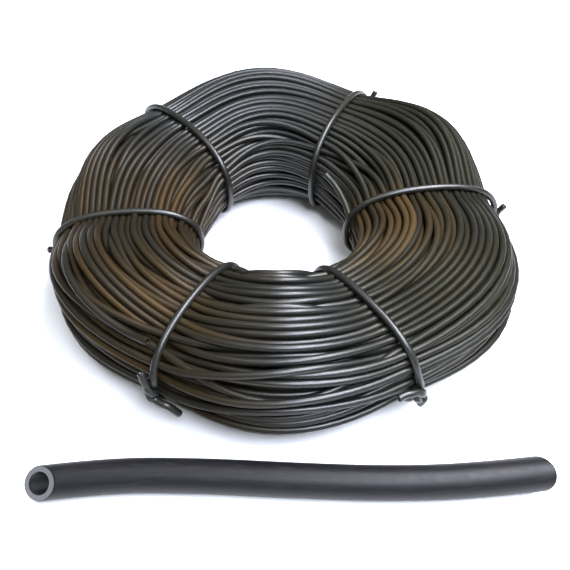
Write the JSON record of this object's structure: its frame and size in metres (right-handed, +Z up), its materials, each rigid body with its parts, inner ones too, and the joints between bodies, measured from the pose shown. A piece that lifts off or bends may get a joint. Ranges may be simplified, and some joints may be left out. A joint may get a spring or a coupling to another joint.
{
  "type": "soaker hose",
  "caption": "Wound coil of soft black soaker hose held by ties of the same hose, with both free ends and a loose cut length of larger hose lying in front.",
  "frame": {"origin": "on the surface the coil lies on, under the middle of the whole part's box", "axes": "+Z up, +X to the right and +Y away from a viewer who stands in front of the cut length"},
  "size_m": [0.4451, 0.4819, 0.1246],
  "materials": {
    "coil_hose": "satin",
    "tie_hose": "satin",
    "cut_hose": "satin"
  },
  "bodies": {
    "coil": {"coil_winding": "coil_hose", "hose_inner_end": "coil_hose", "hose_outer_end": "coil_hose", "tie_right": "tie_hose", "tie_back_right": "tie_hose", "tie_back_left": "tie_hose", "tie_left": "tie_hose", "tie_front_left": "tie_hose", "tie_front_right": "tie_hose"},
    "loose_length": {"cut_length": "cut_hose"}
  },
  "joints": [
    {"name": "cut_length_lift", "type": "slide", "parent": "coil", "child": "loose_length", "axis": [0, 0, 1], "range_m": [0, 0.15]}
  ]
}
